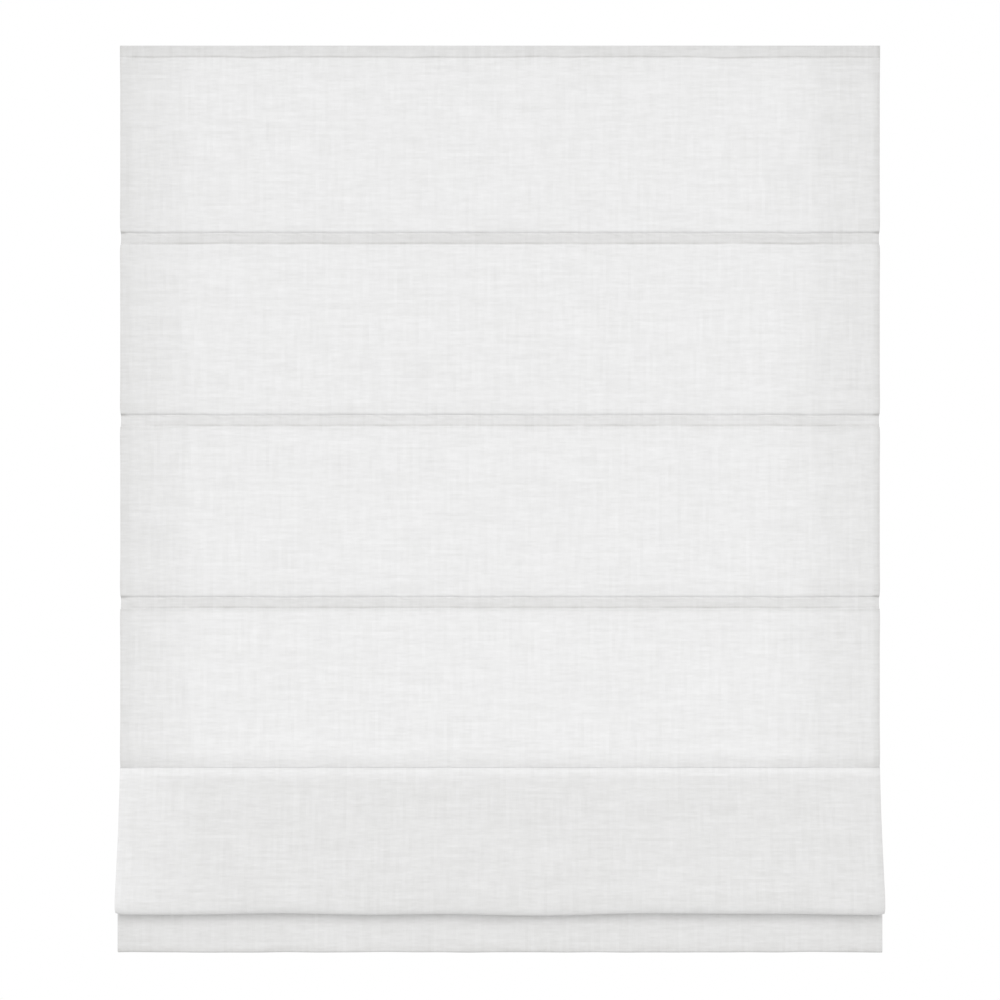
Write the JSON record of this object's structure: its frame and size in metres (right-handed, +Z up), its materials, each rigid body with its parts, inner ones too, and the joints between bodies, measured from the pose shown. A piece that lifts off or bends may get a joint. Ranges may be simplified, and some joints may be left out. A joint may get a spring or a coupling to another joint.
{
  "type": "roman blind",
  "caption": "Lined white linen Roman blind: headrail with cordless spring lift, battens in sewn channels, cord rings, weighted hem and a soft fold at the bottom.",
  "frame": {"origin": "middle of the bracket screw holes, on the plane that the brackets are screwed to", "axes": "+Z up, X along the headrail, the show side faces -Y"},
  "size_m": [0.9144, 0.0857, 1.0878],
  "materials": {
    "linen": "slubby plain-weave white linen",
    "lining": "smooth off-white cotton lining",
    "rail": "white powder-coated aluminium",
    "cap": "white moulded plastic",
    "tape": "white hook and loop tape",
    "bracket": "zinc-plated spring steel",
    "shaft": "plain steel rod",
    "spool": "natural acetal",
    "cradle": "white nylon",
    "cassette": "grey moulded plastic",
    "spring": "blued spring steel band",
    "ring": "white moulded rings",
    "batten": "white glass-fibre slat",
    "hem_bar": "plain mill aluminium"
  },
  "bodies": {
    "headrail_set": {"drive_spring": "spring", "end_cap_left": "cap", "end_cap_right": "cap", "face_fabric": "linen", "headrail": "rail", "hook_tape": "tape", "lining": "lining", "loop_tape": "tape", "mounting_bracket_left": "bracket", "mounting_bracket_right": "bracket", "spool_cradle_left": "cradle", "spool_cradle_middle": "cradle", "spool_cradle_right": "cradle", "spring_cover": "cassette", "spring_housing": "cassette"},
    "batten_1_row": {"batten_1": "batten", "cord_ring_1_left": "ring", "cord_ring_1_middle": "ring", "cord_ring_1_right": "ring"},
    "batten_2_row": {"batten_2": "batten", "cord_ring_2_left": "ring", "cord_ring_2_middle": "ring", "cord_ring_2_right": "ring"},
    "batten_3_row": {"batten_3": "batten", "cord_ring_3_left": "ring", "cord_ring_3_middle": "ring", "cord_ring_3_right": "ring"},
    "batten_4_row": {"batten_4": "batten", "cord_ring_4_left": "ring", "cord_ring_4_middle": "ring", "cord_ring_4_right": "ring"},
    "bottom_bar": {"batten_5": "batten", "hem_bar": "hem_bar", "cord_ring_5_left": "ring", "cord_ring_5_middle": "ring", "cord_ring_5_right": "ring"},
    "winder": {"lift_shaft": "shaft", "lift_spool_left": "spool", "lift_spool_middle": "spool", "lift_spool_right": "spool", "spring_arbor": "spool"}
  },
  "joints": [
    {"name": "lift", "type": "slide", "parent": "headrail_set", "child": "bottom_bar", "axis": [0, 0, 1], "range_m": [0, 0.78], "deforming": ["face_fabric", "lining"]},
    {"name": "batten_1_lift", "type": "slide", "parent": "headrail_set", "child": "batten_1_row", "axis": [0, 0, 1], "range_m": [0, 0.1492]},
    {"name": "batten_2_lift", "type": "slide", "parent": "headrail_set", "child": "batten_2_row", "axis": [0, 0, 1], "range_m": [0, 0.3233]},
    {"name": "batten_3_lift", "type": "slide", "parent": "headrail_set", "child": "batten_3_row", "axis": [0, 0, 1], "range_m": [0, 0.4975]},
    {"name": "batten_4_lift", "type": "slide", "parent": "headrail_set", "child": "batten_4_row", "axis": [0, 0, 1], "range_m": [0, 0.6557]},
    {"name": "shaft_turn", "type": "hinge", "parent": "headrail_set", "child": "winder", "pos_m": [0, 0, -0.0195], "axis": [-1, 0, 0], "range_deg": [0, 5330]}
  ],
  "couplings": [
    {"joint": "batten_1_lift", "follows": "lift", "ratio": 0.19065},
    {"joint": "batten_2_lift", "follows": "lift", "ratio": 0.4139},
    {"joint": "batten_3_lift", "follows": "lift", "ratio": 0.63715},
    {"joint": "batten_4_lift", "follows": "lift", "ratio": 0.84002},
    {"joint": "shaft_turn", "follows": "lift", "rad_per_m": 119.05}
  ]
}
